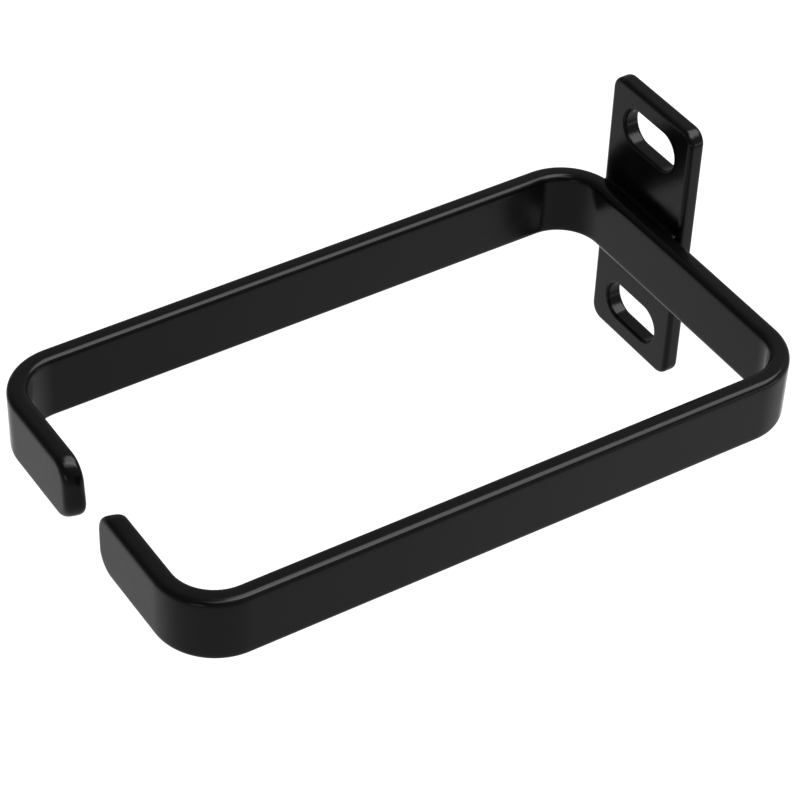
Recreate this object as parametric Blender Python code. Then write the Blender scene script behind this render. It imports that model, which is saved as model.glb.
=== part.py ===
"""Wall-mounted holder for a hair dryer.

One flat steel bar is bent into an open rectangular loop, and its back run is
welded to the front of a slotted wall plate.  Everything is powder coated after
welding.  Units are metres.  +Z is up, +Y points into the wall, and the origin
is the centre of the plate's wall face.
"""

import math

import bmesh
import bpy

MM = 0.001

# Flat bar
BAR_HEIGHT = 15.3 * MM
BAR_THICKNESS = 4.3 * MM
BAR_EDGE_RADIUS = 1.4 * MM

# Loop that the bar is bent into, measured over its outer faces
LOOP_WIDTH = 83.0 * MM
LOOP_LENGTH = 145.2 * MM
BEND_OUTER_RADIUS = 13.2 * MM
FRONT_GAP = 11.0 * MM
TIP_CORNER_RADIUS = 6.2 * MM

# Wall plate and its two screw slots
PLATE_WIDTH = 27.6 * MM
PLATE_HEIGHT = 65.0 * MM
PLATE_THICKNESS = 3.8 * MM
PLATE_CORNER_RADIUS = 3.4 * MM
PLATE_EDGE_RADIUS = 1.0 * MM
SLOT_LENGTH = 17.0 * MM
SLOT_WIDTH = 8.6 * MM
SLOT_SPACING = 46.5 * MM

# Where the loop sits on the plate
LOOP_OFFSET_X = 19.1 * MM
LOOP_OFFSET_Z = -1.2 * MM

# Fillet welds between the bar's rear edges and the plate
JOINT_GAP = 0.3 * MM
WELD_LEG = 1.8 * MM
WELD_LENGTH = 24.0 * MM
WELD_END_TAPER = 1.5 * MM
WELD_END_SCALE = 0.5
WELD_TOE_ANGLE = 95

# Facets on round work
BEND_SEGMENTS = 12
TIP_SEGMENTS = 8
CORNER_SEGMENTS = 6
SLOT_SEGMENTS = 12
BAR_EDGE_SEGMENTS = 4
PLATE_EDGE_SEGMENTS = 3
WELD_ARC_SEGMENTS = 4
SMOOTH_ANGLE = math.radians(35)
BEVEL_ANGLE = math.radians(40)

# Faces that other sizes are worked out from
PLATE_FRONT_Y = -PLATE_THICKNESS
LOOP_BACK_Y = PLATE_FRONT_Y - JOINT_GAP
LOOP_FRONT_Y = LOOP_BACK_Y - LOOP_LENGTH
LOOP_LEFT_X = LOOP_OFFSET_X - LOOP_WIDTH / 2
LOOP_RIGHT_X = LOOP_OFFSET_X + LOOP_WIDTH / 2


def clear_scene():
    """Remove whatever the file holds."""
    for item in list(bpy.data.objects):
        bpy.data.objects.remove(item, do_unlink=True)


def coated_steel(name, colour, roughness):
    """Powder-coated steel: the coat hides the metal, so metallic is zero."""
    material = bpy.data.materials.new(name)
    material.use_nodes = True
    shader = material.node_tree.nodes["Principled BSDF"]
    shader.inputs["Base Color"].default_value = (*colour, 1.0)
    shader.inputs["Roughness"].default_value = roughness
    shader.inputs["Metallic"].default_value = 0.0
    return material


def new_object(name, bm, material):
    """Turn a bmesh into a shaded object with one material."""
    bmesh.ops.recalc_face_normals(bm, faces=bm.faces)
    mesh = bpy.data.meshes.new(name)
    bm.to_mesh(mesh)
    bm.free()
    mesh.materials.append(material)
    mesh.shade_smooth()
    mesh.set_sharp_from_angle(angle=SMOOTH_ANGLE)
    item = bpy.data.objects.new(name, mesh)
    bpy.context.scene.collection.objects.link(item)
    return item


def round_edges(item, radius, segments):
    """Round every sharp edge with a Bevel modifier."""
    bevel = item.modifiers.new("rounded_edges", "BEVEL")
    bevel.width = radius
    bevel.segments = segments
    bevel.limit_method = "ANGLE"
    bevel.angle_limit = BEVEL_ANGLE
    bevel.use_clamp_overlap = False
    return bevel


def arc(centre, radius, start, end, segments):
    """Points on an arc from start to end, in degrees, both ends included."""
    points = []
    for step in range(segments + 1):
        angle = math.radians(start + (end - start) * step / segments)
        points.append((centre[0] + radius * math.cos(angle), centre[1] + radius * math.sin(angle)))
    return points


def rounded_rectangle(width, height, radius, segments):
    """Anticlockwise outline centred on the origin; a radius of half the height makes a slot."""
    half_x = width / 2 - radius
    half_y = height / 2 - radius
    outline = []
    for sign_x, sign_y, start in ((1, 1, 0), (-1, 1, 90), (-1, -1, 180), (1, -1, 270)):
        outline += arc((sign_x * half_x, sign_y * half_y), radius, start, start + 90, segments)
    return without_repeats(outline)


def without_repeats(outline):
    """Drop a point that repeats the one before it, as where a slot's arcs meet."""
    kept = []
    for index, point in enumerate(outline):
        before = outline[index - 1]
        if math.dist(point, before) > JOINT_GAP / 100:
            kept.append(point)
    return kept


def loop_side(inset):
    """One face of the bar in plan, from the left free end round the back to the right free end."""
    radius = BEND_OUTER_RADIUS - inset
    left = LOOP_LEFT_X + BEND_OUTER_RADIUS
    right = LOOP_RIGHT_X - BEND_OUTER_RADIUS
    front = LOOP_FRONT_Y + BEND_OUTER_RADIUS
    back = LOOP_BACK_Y - BEND_OUTER_RADIUS
    points = [(LOOP_OFFSET_X - FRONT_GAP / 2, LOOP_FRONT_Y + inset)]
    points += arc((left, front), radius, 270, 180, BEND_SEGMENTS)
    points += arc((left, back), radius, 180, 90, BEND_SEGMENTS)
    points += arc((right, back), radius, 90, 0, BEND_SEGMENTS)
    points += arc((right, front), radius, 0, -90, BEND_SEGMENTS)
    points.append((LOOP_OFFSET_X + FRONT_GAP / 2, LOOP_FRONT_Y + inset))
    return points


def tip_corner_edges(bm):
    """The four edges, two at each free end, that run through the bar's thickness."""
    chosen = []
    for edge in bm.edges:
        first, second = (vert.co for vert in edge.verts)
        at_tip = abs(abs(first.x - LOOP_OFFSET_X) - FRONT_GAP / 2) < JOINT_GAP
        through = abs(first.x - second.x) < JOINT_GAP and abs(first.z - second.z) < JOINT_GAP
        if at_tip and through and abs(first.y - second.y) > BAR_THICKNESS / 2:
            chosen.append(edge)
    return chosen


def make_loop_bar(material):
    """The bent flat bar: a strip in plan, raised to the bar's height, with rounded free ends."""
    bm = bmesh.new()
    bottom = LOOP_OFFSET_Z - BAR_HEIGHT / 2
    outer = [bm.verts.new((x, y, bottom)) for x, y in loop_side(0.0)]
    inner = [bm.verts.new((x, y, bottom)) for x, y in loop_side(BAR_THICKNESS)]
    strip = []
    for index in range(len(outer) - 1):
        strip.append(bm.faces.new((outer[index], outer[index + 1], inner[index + 1], inner[index])))
    raised = bmesh.ops.extrude_face_region(bm, geom=strip)["geom"]
    top = [part for part in raised if isinstance(part, bmesh.types.BMVert)]
    bmesh.ops.translate(bm, verts=top, vec=(0, 0, BAR_HEIGHT))
    bmesh.ops.recalc_face_normals(bm, faces=bm.faces)
    bmesh.ops.bevel(
        bm,
        geom=tip_corner_edges(bm),
        offset=TIP_CORNER_RADIUS,
        offset_type="OFFSET",
        segments=TIP_SEGMENTS,
        profile=0.5,
        affect="EDGES",
    )
    bar = new_object("loop_bar", bm, material)
    round_edges(bar, BAR_EDGE_RADIUS, BAR_EDGE_SEGMENTS)
    return bar


def edge_profile():
    """(inset from the widest outline, depth from the wall face) across the plate's rounded rim."""
    steps = []
    for step in range(PLATE_EDGE_SEGMENTS + 1):
        angle = math.pi / 2 * step / PLATE_EDGE_SEGMENTS
        inset = PLATE_EDGE_RADIUS * (1 - math.sin(angle))
        depth = PLATE_EDGE_RADIUS * (1 - math.cos(angle))
        steps.append((inset, depth))
    return steps + [(inset, PLATE_THICKNESS - depth) for inset, depth in reversed(steps)]


def plate_outline(inset):
    """The plate's outline, drawn in by the inset."""
    return rounded_rectangle(
        PLATE_WIDTH - 2 * inset,
        PLATE_HEIGHT - 2 * inset,
        PLATE_CORNER_RADIUS - inset,
        CORNER_SEGMENTS,
    )


def slot_outline(inset, height):
    """One horizontal slot at the given height, opened out by the inset."""
    outline = rounded_rectangle(
        SLOT_LENGTH + 2 * inset,
        SLOT_WIDTH + 2 * inset,
        SLOT_WIDTH / 2 + inset,
        SLOT_SEGMENTS,
    )
    return [(x, z + height) for x, z in outline]


def add_rim(bm, outline_at):
    """Rings of a rounded rim from the wall face to the front, joined by faces; returns the rings."""
    rings = []
    for inset, depth in edge_profile():
        rings.append([bm.verts.new((x, -depth, z)) for x, z in outline_at(inset)])
    for first, second in zip(rings, rings[1:]):
        for index in range(len(first)):
            bm.faces.new((first[index - 1], first[index], second[index], second[index - 1]))
    return rings


def ring_edges(bm, ring):
    """The closed run of edges through a ring of vertices."""
    return [bm.edges.get((ring[index - 1], vert)) for index, vert in enumerate(ring)]


def make_mounting_plate(material):
    """The wall plate: a rounded rectangle of sheet with two horizontal slots."""
    bm = bmesh.new()
    rims = [add_rim(bm, plate_outline)]
    for height in (SLOT_SPACING / 2, -SLOT_SPACING / 2):
        rims.append(add_rim(bm, lambda inset, height=height: slot_outline(inset, height)))
    for end in (0, -1):
        edges = []
        for rings in rims:
            edges += ring_edges(bm, rings[end])
        bmesh.ops.triangle_fill(bm, use_beauty=True, use_dissolve=False, edges=edges)
    return new_object("mounting_plate", bm, material)


def weld_section():
    """Upper weld's outline as (distance in front of the plate, height above the bar's middle).

    It starts low in the groove beside the bar's rounded rear edge, follows that
    edge at the joint gap as far as the toe, and closes over a slightly full throat.
    The toe stays behind the flat of the bar's top face.
    """
    edge_centre = (JOINT_GAP + BAR_EDGE_RADIUS, BAR_HEIGHT / 2 - BAR_EDGE_RADIUS)
    reach = BAR_EDGE_RADIUS + JOINT_GAP
    root_angle = math.degrees(math.acos(-BAR_EDGE_RADIUS / reach))
    section = arc(edge_centre, reach, root_angle, WELD_TOE_ANGLE, WELD_ARC_SEGMENTS)
    root = section[0]
    section.append((edge_centre[0] - JOINT_GAP, BAR_HEIGHT / 2 + WELD_LEG / 2))
    section.append((root[0], BAR_HEIGHT / 2 + WELD_LEG))
    return section


def make_weld_bead(name, side, material):
    """One fillet weld; side is +1 above the bar and -1 below it."""
    bm = bmesh.new()
    section = weld_section()
    centre_u = sum(point[0] for point in section) / len(section)
    centre_w = sum(point[1] for point in section) / len(section)
    half = WELD_LENGTH / 2
    full = half - WELD_END_TAPER
    stations = ((-half, WELD_END_SCALE), (-full, 1.0), (full, 1.0), (half, WELD_END_SCALE))
    rings = []
    for x, scale in stations:
        ring = []
        for u, w in section:
            ahead = centre_u + (u - centre_u) * scale
            above = centre_w + (w - centre_w) * scale
            ring.append(bm.verts.new((x, PLATE_FRONT_Y - ahead, LOOP_OFFSET_Z + side * above)))
        rings.append(ring)
    for first, second in zip(rings, rings[1:]):
        for index in range(len(section)):
            bm.faces.new((first[index - 1], first[index], second[index], second[index - 1]))
    bm.faces.new(rings[0])
    bm.faces.new(rings[-1])
    return new_object(name, bm, material)


def main():
    clear_scene()
    coat = coated_steel("black_powder_coat", (0.013, 0.013, 0.014), 0.36)
    weld_coat = coated_steel("black_powder_coat_on_weld", (0.011, 0.011, 0.012), 0.42)
    make_loop_bar(coat)
    make_mounting_plate(coat)
    make_weld_bead("weld_bead_upper", 1, weld_coat)
    make_weld_bead("weld_bead_lower", -1, weld_coat)


main()
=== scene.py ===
"""Looks of the wall-mounted hair dryer holder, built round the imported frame.

The bar, the plate and the welds are built again as finer meshes in the CAD's
places, with sizes within a millimetre of the CAD's and with the marks that
bending, grinding, welding and powder coating leave. Lengths are in metres. +Z
is up and +Y into the wall, and the origin is the centre of the plate's wall face.
"""

import math
import random

import bmesh
import bpy
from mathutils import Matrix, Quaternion, Vector, noise


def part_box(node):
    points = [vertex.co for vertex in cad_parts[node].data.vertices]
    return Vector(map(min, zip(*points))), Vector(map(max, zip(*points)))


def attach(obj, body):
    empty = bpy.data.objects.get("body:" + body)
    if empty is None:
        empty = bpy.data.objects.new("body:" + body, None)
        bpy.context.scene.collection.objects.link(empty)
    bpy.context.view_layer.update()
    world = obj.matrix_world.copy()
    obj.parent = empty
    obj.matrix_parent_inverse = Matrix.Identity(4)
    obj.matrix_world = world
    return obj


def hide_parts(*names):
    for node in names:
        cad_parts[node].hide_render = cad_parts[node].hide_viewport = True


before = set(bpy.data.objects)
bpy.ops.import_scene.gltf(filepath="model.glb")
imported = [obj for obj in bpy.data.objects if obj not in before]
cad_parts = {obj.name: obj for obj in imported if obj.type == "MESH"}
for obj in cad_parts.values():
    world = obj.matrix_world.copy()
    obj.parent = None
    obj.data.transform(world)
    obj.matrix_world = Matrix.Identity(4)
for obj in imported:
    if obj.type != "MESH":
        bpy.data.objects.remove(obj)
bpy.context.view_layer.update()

MM = 0.001

# Sizes that the frame's boxes don't give; a reach is how wide an edge's rounding is
BAR_THICKNESS = 4.3 * MM
BAR_EDGE_REACH = 2.0 * MM
BAR_EDGE_FULLNESS = 3.0
BEND_OUTER_RADIUS = 13.2 * MM
FRONT_GAP = 11.0 * MM
TIP_CORNER_RADIUS = 5.4 * MM
PLATE_CORNER_RADIUS = 3.4 * MM
PLATE_EDGE_REACH = 1.25 * MM
PLATE_EDGE_FULLNESS = 2.5
SLOT_EDGE_REACH = 0.8 * MM
SLOT_LENGTH = 17.2 * MM
SLOT_WIDTH = 8.9 * MM
SLOT_SPACING = 46.5 * MM

# Fineness of the meshes
RUN_STEP = 1.5 * MM
BEND_STEPS = 40
TIP_STEPS = 16
BAR_EDGE_STEPS = 14
PLATE_EDGE_STEPS = 12
FACE_ROWS = 10
CORNER_STEPS = 16
SLOT_STEPS = 24
WELD_STEP = 0.15 * MM
WELD_ACROSS_STEPS = 8
GRIT_SUBDIVISIONS = 2
FLAT_FACE_WEIGHT = 100
SHORTEST_STEP = RUN_STEP / 3

# Marks of bending and of grinding the free ends
BEND_FLARE = 0.025
RUN_WAVE = 0.05 * MM
RUN_WAVE_PERIOD = 45 * MM
RUN_WAVE_SEED = 3.7
LOOP_TWIST = 0.3 * MM
RIGHT_ARM_SHORT = 0.25 * MM
TIP_HOLLOW = 0.1 * MM
LEFT_TIP_BEVEL = 1.5 * MM
LEFT_TIP_LOWER_BEVEL = 0.2
LEFT_TIP_HEEL = 0.3 * MM
LEFT_TIP_HEEL_SPAN = 2.6 * MM
RIGHT_TIP_TRIM = 0.35 * MM
RIGHT_TIP_BEVEL = 2.2 * MM

# The welds, and the coat that joins the pieces
WELD_LENGTH = 25.0 * MM
WELD_RISE = 0.1 * MM
WELD_REACH = 1.4 * MM
WELD_TOE_DROP = 0.12 * MM
WELD_LUMP = 0.05 * MM
WELD_LUMP_PERIOD = 0.8 * MM
WELD_LUMP_SEED = 1.3
WELD_WANDER = 0.12 * MM
WELD_WANDER_PERIOD = 4.0 * MM
WELD_WANDER_SEED = 5.1
WELD_END_SLOPE = 1.5 * MM
WELD_END_DROP = 0.5 * MM
BRIDGE_EDGE_INSET = 1.4 * MM
OVERLAP = 0.04 * MM
SAME_POINT = OVERLAP / 10

# Specks under the coat: (place in millimetres, radius in millimetres)
GRIT = (
    ((-10.6, -3.45, 32.2), 0.2),
    ((-6.6, -3.7, 28.4), 0.2),
    ((-5.9, -3.72, 28.0), 0.15),
    ((2.0, -147.8, 6.4), 0.14),
    ((33.5, -147.6, 6.4), 0.14),
    ((39.0, -147.0, 6.4), 0.12),
    ((-20.6, -64.4, 6.4), 0.13),
)
GRIT_UNEVENNESS = 0.12

# The coat: its two greys and its range of roughness, on the steel and on the welds
COAT_DARK = 0.0025
COAT_LIGHT = 0.004
COAT_ROUGHNESS = (0.16, 0.24)
WELD_COAT_DARK = 0.002
WELD_COAT_LIGHT = 0.003
WELD_COAT_ROUGHNESS = (0.26, 0.36)
COAT_IOR = 1.5
COAT_SPECULAR = 0.3
SHADE_PERIOD = 22 * MM
SHADE_DETAIL = 3.0
SHADE_RANGE = (0.3, 0.75)
GLOSS_PERIOD = 6 * MM
GLOSS_DETAIL = 4.0
GLOSS_ROUGHNESS = 0.6
GLOSS_RANGE = (0.3, 0.7)
PEEL_PERIOD = 1.6 * MM
PEEL_DETAIL = 1.0
PEEL_DEPTH = 0.006 * MM
TOOTH_PERIOD = 0.25 * MM
TOOTH_DETAIL = 2.0
TOOTH_DEPTH = 0.003 * MM
NIB_SPACING = 6 * MM
NIB_RADIUS = 0.22 * MM
NIB_HEIGHT = 0.04 * MM

BAR_LOW, BAR_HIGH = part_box("loop_bar")
PLATE_LOW, PLATE_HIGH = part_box("mounting_plate")
BAR_MIDDLE = (BAR_LOW + BAR_HIGH) / 2
BAR_HEIGHT = BAR_HIGH.z - BAR_LOW.z
BEND_RADIUS = BEND_OUTER_RADIUS - BAR_THICKNESS / 2
BEND_LENGTH = BEND_RADIUS * math.pi / 2


# ---------------------------------------------------------------- mesh helpers


def arc(centre, radius, start, end, steps):
    """Points on an arc, in degrees, both ends included."""
    points = []
    for step in range(steps + 1):
        angle = math.radians(start + (end - start) * step / steps)
        points.append((centre[0] + radius * math.cos(angle), centre[1] + radius * math.sin(angle)))
    return points


def edge_profile(reach, thickness, steps, fullness):
    """(inset, offset from mid thickness) across a rim with both edges rounded.

    A fullness of 2 is a plain radius; more draws the roundness into the corner
    and lets it run out softly over the reach, as a thick coat does.
    """
    half = []
    power = 2 / fullness
    for step in range(steps + 1):
        angle = math.pi / 2 * step / steps
        inset = reach * (1 - math.sin(angle) ** power)
        depth = reach * (1 - max(0.0, math.cos(angle)) ** power)
        half.append((inset, thickness / 2 - depth))
    return half + [(inset, -offset) for inset, offset in reversed(half)]


def finish_mesh(name, bm, material, weighted=False):
    """Turn a bmesh into a smooth-shaded object with outward normals.

    Weighted normals keep a broad flat face flat right up to its rounded rim.
    """
    bmesh.ops.recalc_face_normals(bm, faces=bm.faces)
    mesh = bpy.data.meshes.new(name)
    bm.to_mesh(mesh)
    bm.free()
    mesh.materials.append(material)
    mesh.shade_smooth()
    item = bpy.data.objects.new(name, mesh)
    bpy.context.scene.collection.objects.link(item)
    if weighted:
        item.modifiers.new("flat_faces_stay_flat", "WEIGHTED_NORMAL").weight = FLAT_FACE_WEIGHT
    return item


def join_rings(bm, first, second):
    """Quads between two closed rings of the same length."""
    for index in range(len(first)):
        bm.faces.new((first[index - 1], first[index], second[index], second[index - 1]))


def drift(x, y, z, period, seed):
    """Smooth noise between about -1 and 1 that changes over the given distance."""
    return noise.noise(Vector((x / period + seed, y / period, z / period)))


# ---------------------------------------------------------------- the bent bar


def bar_path():
    """The centreline's (kind, length) runs, clockwise from the left free end to the right one."""
    stub = (BAR_HIGH.x - BAR_LOW.x) / 2 - FRONT_GAP / 2 - BEND_OUTER_RADIUS
    arm = BAR_HIGH.y - BAR_LOW.y - 2 * BEND_OUTER_RADIUS
    back = BAR_HIGH.x - BAR_LOW.x - 2 * BEND_OUTER_RADIUS
    bend = ("bend", BEND_LENGTH)
    path = [("run", stub)]
    for length in (arm, back, arm, stub):
        path += [bend, ("run", length)]
    return path


def path_place(distance):
    """Point, heading and curvature of the centreline at a distance from the left free end."""
    point = Vector((BAR_MIDDLE.x - FRONT_GAP / 2, BAR_LOW.y + BAR_THICKNESS / 2, 0))
    heading = math.pi
    left = distance
    runs = bar_path()
    for index, (kind, length) in enumerate(runs):
        last = index == len(runs) - 1
        travelled = left if last else min(left, length)
        ahead = Vector((math.cos(heading), math.sin(heading), 0))
        inward = Vector((ahead.y, -ahead.x, 0))
        if kind == "run":
            point = point + ahead * travelled
            curvature = 0.0
        else:
            turned = travelled / BEND_RADIUS
            centre = point + inward * BEND_RADIUS
            heading -= turned
            outward = Vector((-math.sin(heading), math.cos(heading), 0))
            point = centre + outward * BEND_RADIUS
            curvature = 1 / BEND_RADIUS
        left -= travelled
        if left <= 0:
            break
    return point, heading, curvature


def bend_share(distance):
    """How far into a bend a place is, from 0 on a straight run to 1 in the bend's middle."""
    start = 0.0
    for kind, length in bar_path():
        if kind == "bend" and start < distance < start + length:
            along = (distance - start) / length
            return math.sin(math.pi * along) ** 0.5
        start += length
    return 0.0


def bar_stations(total):
    """Distances along the bar at which the mesh has a column, without the rounded tips."""
    stations = []
    start = 0.0
    for kind, length in bar_path():
        steps = BEND_STEPS if kind == "bend" else max(2, round(length / RUN_STEP))
        for step in range(steps):
            stations.append(start + length * step / steps)
        start += length
    stations.append(total)
    low = TIP_CORNER_RADIUS + SHORTEST_STEP
    high = total - low
    between = [s for s in stations if low < s < high]
    return [TIP_CORNER_RADIUS] + between + [total - TIP_CORNER_RADIUS]


def blank_ring(inset, total, stations):
    """Outline of the flat blank, drawn in by the inset, as top, right, bottom and left chains."""
    radius = TIP_CORNER_RADIUS
    top_z = BAR_HEIGHT / 2 - radius
    left = arc((radius, top_z), radius - inset, 180, 90, TIP_STEPS)[:-1]
    right = arc((total - radius, top_z), radius - inset, 90, 0, TIP_STEPS)[1:]
    top = left + [(s, BAR_HEIGHT / 2 - inset) for s in stations] + right
    bottom = [(s, -z) for s, z in top]
    rows = range(1, FACE_ROWS)
    right_side = [(total - inset, top_z * (1 - 2 * row / FACE_ROWS)) for row in rows]
    left_side = [(inset, -top_z * (1 - 2 * row / FACE_ROWS)) for row in rows]
    return top, right_side, bottom[::-1], left_side


def rack_loop(place, right_half):
    """The loop as bent by hand: twisted a little, and its right arm a little short."""
    half = (BAR_HIGH - BAR_LOW) / 2
    across = (place.x - BAR_MIDDLE.x) / half.x
    back = (place.y - BAR_MIDDLE.y) / half.y
    place.z -= LOOP_TWIST * across * back
    if right_half:
        place.y += RIGHT_ARM_SHORT * (1 - back) / 2
    return place


def ground_away(distance, offset, height, total):
    """How far hand grinding moves a point at a free end, forwards along the bar."""
    tip_share = max(0.0, 1 - min(distance, total - distance) / TIP_CORNER_RADIUS)
    across = offset / BAR_THICKNESS
    hollow = TIP_HOLLOW * math.cos(math.pi * across) ** 2
    if distance > total / 2:
        bevel = RIGHT_TIP_BEVEL * (0.5 - across) ** 2
        return -(RIGHT_TIP_TRIM + bevel + hollow) * tip_share
    upper = math.tanh(height / LEFT_TIP_HEEL_SPAN)
    bevel = LEFT_TIP_BEVEL * (0.5 + across) ** 2 * (1 - LEFT_TIP_LOWER_BEVEL * upper)
    return (bevel + hollow + LEFT_TIP_HEEL * upper) * tip_share


def bend_blank(distance, offset, height, total):
    """Place a point of the flat blank on the bent bar, with the marks of bending and grinding."""
    point, heading, curvature = path_place(distance)
    outward = Vector((-math.sin(heading), math.cos(heading), 0))
    flare = 1 - BEND_FLARE * bend_share(distance) * curvature * offset
    wave = RUN_WAVE * drift(distance, 0, height, RUN_WAVE_PERIOD, RUN_WAVE_SEED)
    ahead = Vector((math.cos(heading), math.sin(heading), 0))
    ground = ground_away(distance, offset, height, total)
    place = point + outward * (offset - abs(wave)) + ahead * ground
    place.z = BAR_MIDDLE.z + height * flare
    return rack_loop(place, distance > total / 2)


def fill_bar_face(bm, ring, top, offset, total):
    """Quads across one broad face of the bar, inside the last ring of its rounded rim."""
    columns = len(top)
    side = FACE_ROWS - 1
    upper = ring[:columns]
    right_side = ring[columns : columns + side]
    lower = ring[columns + side : 2 * columns + side][::-1]
    left_side = ring[2 * columns + side :][::-1]
    grid = [[upper[0]] + left_side + [lower[0]]]
    for column in range(1, columns - 1):
        distance, height = top[column]
        inner = []
        for row in range(1, FACE_ROWS):
            level = height * (1 - 2 * row / FACE_ROWS)
            inner.append(bm.verts.new(bend_blank(distance, offset, level, total)))
        grid.append([upper[column]] + inner + [lower[column]])
    grid.append([upper[-1]] + right_side + [lower[-1]])
    for first, second in zip(grid, grid[1:]):
        for row in range(FACE_ROWS):
            bm.faces.new((first[row], second[row], second[row + 1], first[row + 1]))


def make_bar(material):
    """The bar: a flat blank with rounded rim and free ends, bent round its four corners."""
    total = sum(length for kind, length in bar_path())
    stations = bar_stations(total)
    bm = bmesh.new()
    rings = []
    profile = edge_profile(BAR_EDGE_REACH, BAR_THICKNESS, BAR_EDGE_STEPS, BAR_EDGE_FULLNESS)
    for inset, offset in profile:
        ring = []
        for chain in blank_ring(inset, total, stations):
            for distance, height in chain:
                ring.append(bm.verts.new(bend_blank(distance, offset, height, total)))
        rings.append(ring)
    for first, second in zip(rings, rings[1:]):
        join_rings(bm, first, second)
    top = blank_ring(BAR_EDGE_REACH, total, stations)[0]
    fill_bar_face(bm, rings[0], top, BAR_THICKNESS / 2, total)
    fill_bar_face(bm, rings[-1], top, -BAR_THICKNESS / 2, total)
    return finish_mesh("loop_bar_coated", bm, material)


# ---------------------------------------------------------------- the wall plate


def rounded_outline(width, height, radius, steps, centre_z):
    """Anticlockwise outline of a rounded rectangle or a slot in the plate's plane."""
    half_x = width / 2 - radius
    half_z = height / 2 - radius
    outline = []
    for sign_x, sign_z, start in ((1, 1, 0), (-1, 1, 90), (-1, -1, 180), (1, -1, 270)):
        centre = (sign_x * half_x, centre_z + sign_z * half_z)
        outline += arc(centre, radius, start, start + 90, steps)
    kept = []
    for index, point in enumerate(outline):
        if math.dist(point, outline[index - 1]) > SAME_POINT:
            kept.append(point)
    return kept


def make_plate(material):
    """The wall plate, with a rounded rim round its outline and round both slots."""
    width = PLATE_HIGH.x - PLATE_LOW.x
    height = PLATE_HIGH.z - PLATE_LOW.z
    thickness = PLATE_HIGH.y - PLATE_LOW.y
    middle_y = (PLATE_HIGH.y + PLATE_LOW.y) / 2
    bm = bmesh.new()
    shapes = [(width, height, PLATE_CORNER_RADIUS, PLATE_EDGE_REACH, -1, CORNER_STEPS, 0.0)]
    for centre_z in (SLOT_SPACING / 2, -SLOT_SPACING / 2):
        slot = (SLOT_LENGTH, SLOT_WIDTH, SLOT_WIDTH / 2, SLOT_EDGE_REACH, 1, SLOT_STEPS, centre_z)
        shapes.append(slot)
    ends = ([], [])
    for long_side, short_side, radius, reach, sign, steps, centre_z in shapes:
        rings = []
        for inset, offset in edge_profile(reach, thickness, PLATE_EDGE_STEPS, PLATE_EDGE_FULLNESS):
            grow = sign * inset
            size = (long_side + 2 * grow, short_side + 2 * grow, radius + grow)
            outline = rounded_outline(*size, steps, centre_z)
            rings.append([bm.verts.new((x, middle_y + offset, z)) for x, z in outline])
        for first, second in zip(rings, rings[1:]):
            join_rings(bm, first, second)
        for end, ring in zip(ends, (rings[0], rings[-1])):
            end.extend(bm.edges.get((ring[i - 1], ring[i])) for i in range(len(ring)))
    for edges in ends:
        bmesh.ops.triangle_fill(bm, use_beauty=True, use_dissolve=False, edges=edges)
    return finish_mesh("mounting_plate_coated", bm, material, weighted=True)


# ---------------------------------------------------------------- the welds and the coat


def make_weld(name, side, material):
    """A weld that fills the valley between the bar's edge and the plate.

    The side is 1 above the bar and -1 below it. In the section, u runs from the
    plate's face towards the room and w away from the bar's middle.
    """
    bm = bmesh.new()
    rings = []
    steps = round(WELD_LENGTH / WELD_STEP)
    root_w = BAR_HEIGHT / 2 - BAR_EDGE_REACH
    for step in range(steps + 1):
        x = -WELD_LENGTH / 2 + WELD_LENGTH * step / steps
        to_end = min(step, steps - step) * WELD_STEP
        end_fall = WELD_END_DROP * max(0.0, 1 - to_end / WELD_END_SLOPE) ** 2
        section = [(-OVERLAP, root_w)]
        for across in range(WELD_ACROSS_STEPS + 1):
            share = across / WELD_ACROSS_STEPS
            u = -OVERLAP + WELD_REACH * share
            fall = WELD_RISE - end_fall - (WELD_RISE + WELD_TOE_DROP) * share
            lump = WELD_LUMP * drift(x, u, side, WELD_LUMP_PERIOD, WELD_LUMP_SEED)
            wander = WELD_WANDER * drift(x, 0, side, WELD_WANDER_PERIOD, WELD_WANDER_SEED)
            section.append((u, BAR_HEIGHT / 2 + fall + lump + wander * (1 - share)))
        section.append((WELD_REACH - OVERLAP, root_w))
        ring = []
        for u, w in section:
            ring.append(bm.verts.new((x, PLATE_LOW.y - u, BAR_MIDDLE.z + side * w)))
        rings.append(ring)
    for first, second in zip(rings, rings[1:]):
        join_rings(bm, first, second)
    bm.faces.new(rings[0])
    bm.faces.new(rings[-1])
    return finish_mesh(name, bm, material)


def make_grit(material):
    """Specks of dust that the coat has covered, as seen on the plate and the bar."""
    bm = bmesh.new()
    for place_mm, radius_mm in GRIT:
        rng = random.Random(sum(place_mm))
        speck = bmesh.ops.create_icosphere(
            bm, subdivisions=GRIT_SUBDIVISIONS, radius=radius_mm * MM
        )
        for vert in speck["verts"]:
            vert.co *= 1 + GRIT_UNEVENNESS * (rng.random() - 0.5)
            vert.co += Vector(place_mm) * MM
    return finish_mesh("coat_grit", bm, material)


def make_joint_bridge(material):
    """The coat that closes the hairline gap between the bar's back and the plate."""
    half_x = PLATE_HIGH.x - PLATE_EDGE_REACH
    half_z = BAR_HEIGHT / 2 - BRIDGE_EDGE_INSET
    bm = bmesh.new()
    bmesh.ops.create_cube(bm, size=1.0)
    size = Vector((2 * half_x, PLATE_LOW.y - BAR_HIGH.y + 2 * OVERLAP, 2 * half_z))
    bmesh.ops.scale(bm, verts=bm.verts, vec=size)
    centre = Vector((0, (PLATE_LOW.y + BAR_HIGH.y) / 2, BAR_MIDDLE.z))
    bmesh.ops.translate(bm, verts=bm.verts, vec=centre)
    return finish_mesh("joint_coat_bridge", bm, material)


# ---------------------------------------------------------------- materials


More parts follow.
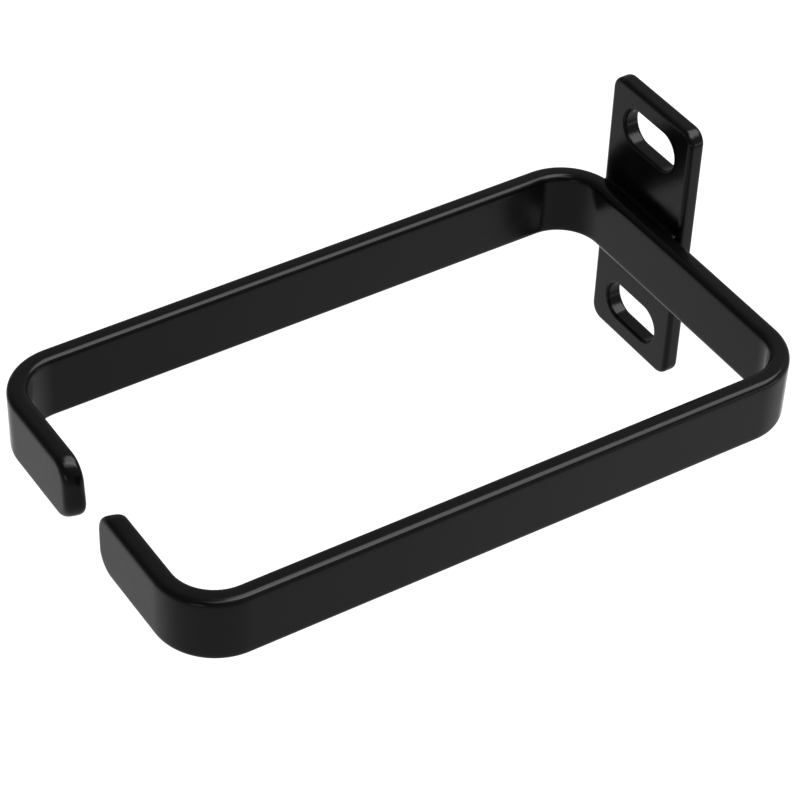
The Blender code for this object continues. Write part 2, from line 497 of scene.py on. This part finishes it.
def add_node(tree, kind, **values):
    """A node with its named inputs and its own settings filled in."""
    node = tree.nodes.new(kind)
    for key, value in values.items():
        if key in node.inputs:
            node.inputs[key].default_value = value
        else:
            setattr(node, key, value)
    return node


def noise_node(tree, coordinates, period, detail, roughness=0.5):
    """Noise whose features are about the given distance apart."""
    settings = {"Scale": 1 / period, "Detail": detail, "Roughness": roughness}
    node = add_node(tree, "ShaderNodeTexNoise", **settings)
    tree.links.new(coordinates, node.inputs["Vector"])
    return node.outputs["Fac"]


def spread(tree, source, low, high, out_low, out_high):
    """Map a range of values onto another, without going past its ends."""
    node = add_node(tree, "ShaderNodeMapRange", clamp=True)
    node.inputs["From Min"].default_value = low
    node.inputs["From Max"].default_value = high
    node.inputs["To Min"].default_value = out_low
    node.inputs["To Max"].default_value = out_high
    tree.links.new(source, node.inputs["Value"])
    return node.outputs["Result"]


def combine(tree, operation, *parts):
    """A maths node over outputs of other nodes, with a plain number where one is given."""
    node = add_node(tree, "ShaderNodeMath", operation=operation)
    for socket, part in zip(node.inputs, parts):
        if isinstance(part, float):
            socket.default_value = part
        else:
            tree.links.new(part, socket)
    return node.outputs[0]


def bump(tree, height, depth, before=None):
    """A bump whose relief has a real depth in metres."""
    node = add_node(tree, "ShaderNodeBump", Strength=1.0, Distance=depth)
    tree.links.new(height, node.inputs["Height"])
    if before is not None:
        tree.links.new(before, node.inputs["Normal"])
    return node.outputs["Normal"]


def powder_coat(name, dark, light, roughness):
    """Satin black powder coat: orange peel, a fine tooth, sparse nibs, slightly uneven gloss."""
    material = bpy.data.materials.new(name)
    material.use_nodes = True
    tree = material.node_tree
    shader = tree.nodes["Principled BSDF"]
    shader.inputs["IOR"].default_value = COAT_IOR
    shader.inputs["Specular IOR Level"].default_value = COAT_SPECULAR
    coordinates = add_node(tree, "ShaderNodeTexCoord").outputs["Object"]

    shade = noise_node(tree, coordinates, SHADE_PERIOD, SHADE_DETAIL)
    ramp = add_node(tree, "ShaderNodeValToRGB")
    for element, position, grey in zip(ramp.color_ramp.elements, SHADE_RANGE, (dark, light)):
        element.position = position
        element.color = (grey, grey, grey, 1.0)
    tree.links.new(shade, ramp.inputs["Fac"])
    tree.links.new(ramp.outputs["Color"], shader.inputs["Base Color"])

    gloss = noise_node(tree, coordinates, GLOSS_PERIOD, GLOSS_DETAIL, GLOSS_ROUGHNESS)
    tree.links.new(spread(tree, gloss, *GLOSS_RANGE, *roughness), shader.inputs["Roughness"])

    peel = noise_node(tree, coordinates, PEEL_PERIOD, PEEL_DETAIL)
    tooth = noise_node(tree, coordinates, TOOTH_PERIOD, TOOTH_DETAIL)
    nib_cells = add_node(tree, "ShaderNodeTexVoronoi", Scale=1 / NIB_SPACING, Randomness=1.0)
    tree.links.new(coordinates, nib_cells.inputs["Vector"])
    nibs = spread(tree, nib_cells.outputs["Distance"], 0.0, NIB_RADIUS / NIB_SPACING, 1.0, 0.0)
    relief = bump(tree, peel, PEEL_DEPTH)
    relief = bump(tree, tooth, TOOTH_DEPTH, relief)
    relief = bump(tree, nibs, NIB_HEIGHT, relief)
    tree.links.new(relief, shader.inputs["Normal"])
    return material


# ---------------------------------------------------------------- studio


# Angles in degrees, places and lengths in metres, the lens and its sensor in millimetres
CAMERA_AZIMUTH = 57.2
CAMERA_ELEVATION = 42.0
CAMERA_ROLL = 1.58
CAMERA_DISTANCE = 0.5495
CAMERA_AIM = Vector((12.85 * MM, -17.8 * MM, 0.15 * MM))
CAMERA_LENS = 125.9
CAMERA_SENSOR = 36.0
CAMERA_SHIFT = (0.05, 0.075)
CAMERA_NEAR = 0.01
CAMERA_FAR = 50.0

# The floor is a matt light table: each zone's light fades in over the range given for it
FLOOR_DROP = 1.2
FLOOR_SIZE = 40.0
FLOOR_GREY = 0.15
FLOOR_ROUGHNESS = 0.9
FLOOR_SPECULAR = 0.1
FLOOR_LIGHT = 0.34
FLOOR_FADE = (1.9, 3.2)
FAR_FLOOR_SHARE = 0.45
LEFT_ZONE_X = (-0.6, 0.0)
LEFT_ZONE_LIGHT = 0.16
RIGHT_ZONE_X = (-0.2, 0.4)
RIGHT_ZONE_Y = (0.4, 1.0)
RIGHT_ZONE_LIGHT = 0.22
POOL_CENTRE = (-1.15, 0.75)
POOL_EDGE = (0.75, 1.05)
POOL_LIGHT = 0.64

# The room: its light in front of the holder and behind it, and how far round the change runs
ROOM_LIGHT_FRONT = 0.12
ROOM_LIGHT_BACK = 0.27
ROOM_CHANGE = (-0.5, 0.5)

# Name, azimuth, elevation, distance, width, height and watts of each soft box
SOFT_BOXES = (
    ("overhead_behind", 153.6, 63, 1.0, 0.9, 0.8, 7.9),
    ("overhead_right", 88, 60, 1.0, 0.8, 0.4, 1.9),
    ("low_right_back", 136, -7, 3.0, 1.5, 0.34, 3.2),
    ("low_right_front", 36, -8, 3.0, 0.84, 0.42, 2.2),
)


def light_table(name):
    """The studio's floor: matt, lit from within by a bright pool and two softer zones.

    All of its light falls off with the distance from the holder.
    """
    material = bpy.data.materials.new(name)
    material.use_nodes = True
    tree = material.node_tree
    shader = tree.nodes["Principled BSDF"]
    shader.inputs["Roughness"].default_value = FLOOR_ROUGHNESS
    shader.inputs["Specular IOR Level"].default_value = FLOOR_SPECULAR
    shader.inputs["Base Color"].default_value = (FLOOR_GREY, FLOOR_GREY, FLOOR_GREY, 1.0)
    shader.inputs["Emission Color"].default_value = (1.0, 1.0, 1.0, 1.0)
    place = add_node(tree, "ShaderNodeTexCoord").outputs["Object"]
    split = add_node(tree, "ShaderNodeSeparateXYZ")
    tree.links.new(place, split.inputs["Vector"])
    to_left = spread(tree, split.outputs["X"], *LEFT_ZONE_X, LEFT_ZONE_LIGHT, 0.0)
    to_right = spread(tree, split.outputs["X"], *RIGHT_ZONE_X, 0.0, RIGHT_ZONE_LIGHT)
    to_back = spread(tree, split.outputs["Y"], *RIGHT_ZONE_Y, 0.0, 1.0)
    zones = combine(tree, "MULTIPLY_ADD", to_right, to_back, to_left)
    to_pool = add_node(tree, "ShaderNodeVectorMath", operation="DISTANCE")
    tree.links.new(place, to_pool.inputs[0])
    to_pool.inputs[1].default_value = (*POOL_CENTRE, 0.0)
    pool = spread(tree, to_pool.outputs["Value"], *POOL_EDGE, POOL_LIGHT, 0.0)
    light = combine(tree, "ADD", combine(tree, "ADD", zones, pool), FLOOR_LIGHT)
    away = add_node(tree, "ShaderNodeVectorMath", operation="LENGTH")
    tree.links.new(place, away.inputs[0])
    fade = spread(tree, away.outputs["Value"], *FLOOR_FADE, 1.0, FAR_FLOOR_SHARE)
    faded = combine(tree, "MULTIPLY", light, fade)
    tree.links.new(faded, shader.inputs["Emission Strength"])
    return material


def toward(azimuth, elevation):
    """Unit vector from the object to a viewer; azimuth 0 is in front of it, 90 on its right."""
    a = math.radians(azimuth)
    e = math.radians(elevation)
    return Vector((math.sin(a) * math.cos(e), -math.cos(a) * math.cos(e), math.sin(e)))


def make_camera():
    """The viewpoint, aimed near the loop's middle."""
    data = bpy.data.cameras.new("camera")
    data.sensor_width = CAMERA_SENSOR
    data.lens = CAMERA_LENS
    data.shift_x, data.shift_y = CAMERA_SHIFT
    data.clip_start = CAMERA_NEAR
    data.clip_end = CAMERA_FAR
    camera = bpy.data.objects.new("camera", data)
    bpy.context.scene.collection.objects.link(camera)
    back = toward(CAMERA_AZIMUTH, CAMERA_ELEVATION)
    camera.location = BAR_MIDDLE + CAMERA_AIM + back * CAMERA_DISTANCE
    level = (-back).to_track_quat("-Z", "Y")
    camera.rotation_mode = "QUATERNION"
    camera.rotation_quaternion = level @ roll_about_view(CAMERA_ROLL)
    bpy.context.scene.camera = camera


def roll_about_view(degrees):
    """Rotation about the camera's own line of sight."""
    half = math.radians(degrees) / 2
    return Quaternion((math.cos(half), 0, 0, math.sin(half)))


def soft_box(name, azimuth, elevation, distance, width, height, power):
    """A rectangular soft light, aimed at the object."""
    data = bpy.data.lights.new(name, "AREA")
    data.shape = "RECTANGLE"
    data.size = width
    data.size_y = height
    data.energy = power
    light = bpy.data.objects.new(name, data)
    bpy.context.scene.collection.objects.link(light)
    back = toward(azimuth, elevation)
    light.location = BAR_MIDDLE + back * distance
    light.rotation_mode = "QUATERNION"
    light.rotation_quaternion = (-back).to_track_quat("-Z", "Y")


def make_world():
    """A dark room, a little lighter on the wall's side."""
    world = bpy.data.worlds.new("studio")
    world.use_nodes = True
    tree = world.node_tree
    background = tree.nodes["Background"]
    direction = add_node(tree, "ShaderNodeTexCoord").outputs["Generated"]
    split = add_node(tree, "ShaderNodeSeparateXYZ")
    tree.links.new(direction, split.inputs["Vector"])
    light = spread(tree, split.outputs["Y"], *ROOM_CHANGE, ROOM_LIGHT_FRONT, ROOM_LIGHT_BACK)
    tree.links.new(light, background.inputs["Strength"])
    background.inputs["Color"].default_value = (1.0, 1.0, 1.0, 1.0)
    bpy.context.scene.world = world


def make_floor():
    """A wide pale light table well below the holder, which hangs clear of it as on its wall."""
    bm = bmesh.new()
    bmesh.ops.create_grid(bm, x_segments=1, y_segments=1, size=FLOOR_SIZE / 2)
    floor = finish_mesh("studio_floor", bm, light_table("light_table"))
    floor.location.z = PLATE_LOW.z - FLOOR_DROP


# ---------------------------------------------------------------- assembly


def stand_in(piece, node):
    """Ride on the one rigid body and stand for a CAD node."""
    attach(piece, "root")
    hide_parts(node)


def add_extra(piece):
    """Ride on the one rigid body beside the pieces that stand for CAD nodes."""
    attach(piece, "root")


coat = powder_coat("satin_black_coat", COAT_DARK, COAT_LIGHT, COAT_ROUGHNESS)
weld_coat = powder_coat(
    "satin_black_coat_on_weld", WELD_COAT_DARK, WELD_COAT_LIGHT, WELD_COAT_ROUGHNESS
)

stand_in(make_bar(coat), "loop_bar")
stand_in(make_plate(coat), "mounting_plate")
stand_in(make_weld("weld_bead_upper_coated", 1, weld_coat), "weld_bead_upper")
stand_in(make_weld("weld_bead_lower_coated", -1, weld_coat), "weld_bead_lower")
add_extra(make_joint_bridge(weld_coat))
add_extra(make_grit(coat))

make_floor()
make_world()
make_camera()
for box in SOFT_BOXES:
    soft_box(*box)
bpy.context.scene.view_settings.view_transform = "Standard"
